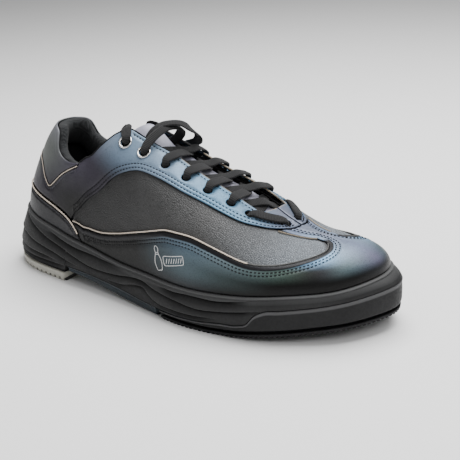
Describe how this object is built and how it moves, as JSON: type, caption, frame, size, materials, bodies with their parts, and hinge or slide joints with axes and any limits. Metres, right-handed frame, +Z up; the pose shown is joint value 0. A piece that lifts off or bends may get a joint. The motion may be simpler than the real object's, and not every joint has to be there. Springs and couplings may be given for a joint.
{
  "type": "bowling shoe",
  "caption": "Right bowling shoe: laced leather upper with a padded collar and tongue, footbed, sculpted midsole, lift-off heel pad and lift-off slide pad under the ball of the foot.",
  "frame": {"origin": "bottom of the box round the shoe, in the middle of its length and width, on the floor plane that the heel pad and the forefoot pad stand on", "axes": "+X from the heel to the toe, +Y to the inner side of the right foot, +Z up"},
  "size_m": [0.3047, 0.1068, 0.1168],
  "materials": {
    "black_leather": "smooth, satin",
    "board": "fibre board, matt",
    "grey_rubber": "matt",
    "lace": "woven, matt",
    "leather": "smooth, lightly metallic, colour shifting",
    "pale_leather": "smooth, satin",
    "pebbled": "pebbled, matt",
    "piping": "smooth edge, matt",
    "plastic": "satin",
    "rubber": "matt, fine texture",
    "shank": "satin",
    "steel": "bright",
    "textile": "knitted, matt"
  },
  "bodies": {
    "shoe": {"aglet_1": "plastic", "aglet_2": "plastic", "collar_foam": "textile", "collar_lining": "textile", "collar_panel": "leather", "emblem": "steel", "eyelet_ring_lateral_1": "steel", "eyelet_ring_lateral_2": "steel", "eyelet_ring_medial_1": "steel", "eyelet_ring_medial_2": "steel", "eyelet_washer_lateral_1": "steel", "eyelet_washer_lateral_2": "steel", "eyelet_washer_medial_1": "steel", "eyelet_washer_medial_2": "steel", "eyestay_tape_lateral": "textile", "eyestay_tape_medial": "textile", "footbed": "textile", "forefoot_cup": "rubber", "forefoot_hook_panel": "textile", "heel_counter_panel": "black_leather", "heel_counter_stiffener": "board", "heel_hook_panel": "textile", "heel_lining": "textile", "heel_piping": "piping", "heel_tab": "piping", "inlay_lateral": "pebbled", "inlay_medial": "pebbled", "inlay_piping_lateral": "piping", "inlay_piping_medial": "piping", "insole_board": "board", "lace": "lace", "midsole": "rubber", "quarter_lateral": "leather", "quarter_lining_lateral": "textile", "quarter_lining_medial": "textile", "quarter_medial": "leather", "shank_outsole": "shank", "shank_plate": "steel", "toe_puff": "board", "vamp_lining": "textile", "vamp_panel": "leather"},
    "heel_pad_body": {"heel_pad": "grey_rubber", "heel_loop_layer": "textile"},
    "forefoot_pad_body": {"forefoot_sole_pad": "rubber", "forefoot_loop_layer": "textile"},
    "tongue_body": {"tongue_shell": "pale_leather", "tongue_foam": "textile", "tongue_lining": "textile"}
  },
  "joints": [
    {"name": "heel_pad_lift", "type": "slide", "parent": "shoe", "child": "heel_pad_body", "axis": [0, 0, -1], "range_m": [0, 0.025]},
    {"name": "forefoot_pad_lift", "type": "slide", "parent": "shoe", "child": "forefoot_pad_body", "axis": [0, 0, -1], "range_m": [0, 0.02]},
    {"name": "tongue_fold", "type": "hinge", "parent": "shoe", "child": "tongue_body", "pos_m": [0.0688, 0.0051, 0.054], "axis": [0, -1, 0], "range_deg": [0, 8]}
  ]
}
